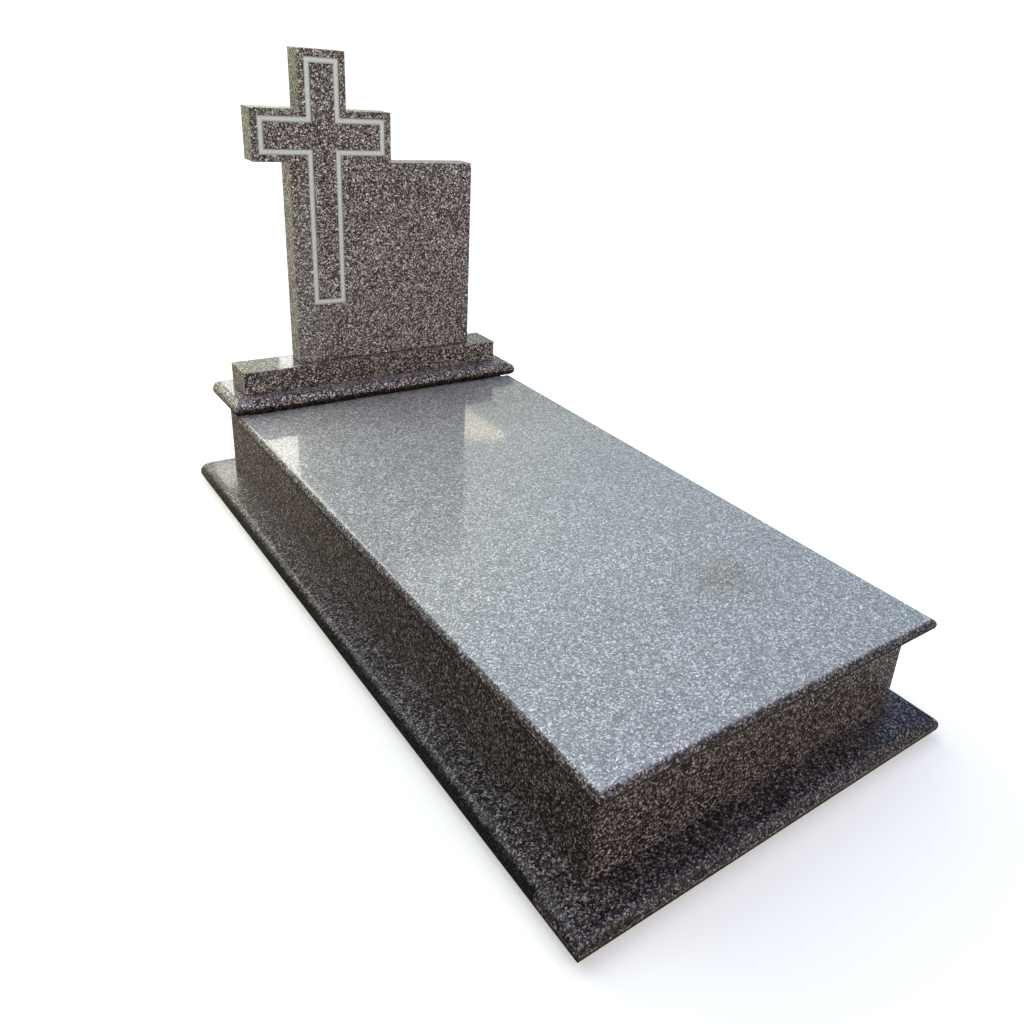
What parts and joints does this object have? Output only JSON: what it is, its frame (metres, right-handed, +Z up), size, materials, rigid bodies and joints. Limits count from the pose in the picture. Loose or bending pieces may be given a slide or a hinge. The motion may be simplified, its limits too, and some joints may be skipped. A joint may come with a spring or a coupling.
{
  "type": "granite grave monument with cross headstone",
  "caption": "Polished granite single-grave monument: cross-and-panel headstone on a plinth and step, with a ledger slab over a kerb box on a base frame with half-round edges.",
  "frame": {"origin": "middle of the base frame's outline, at ground level", "axes": "+X across the grave, to the right as seen from the foot; +Y along the grave from the foot to the headstone; +Z up"},
  "size_m": [1, 2, 1.2685],
  "materials": {
    "granite": "polished"
  },
  "bodies": {
    "root": {"base_front_strip": "granite", "base_left_strip": "granite", "base_right_strip": "granite", "base_back_strip": "granite", "kerb_front": "granite", "kerb_left": "granite", "kerb_right": "granite", "kerb_back": "granite", "ledger_slab": "granite", "bearer_slab": "granite", "step_slab": "granite", "plinth_block": "granite", "headstone": "granite"}
  },
  "joints": []
}
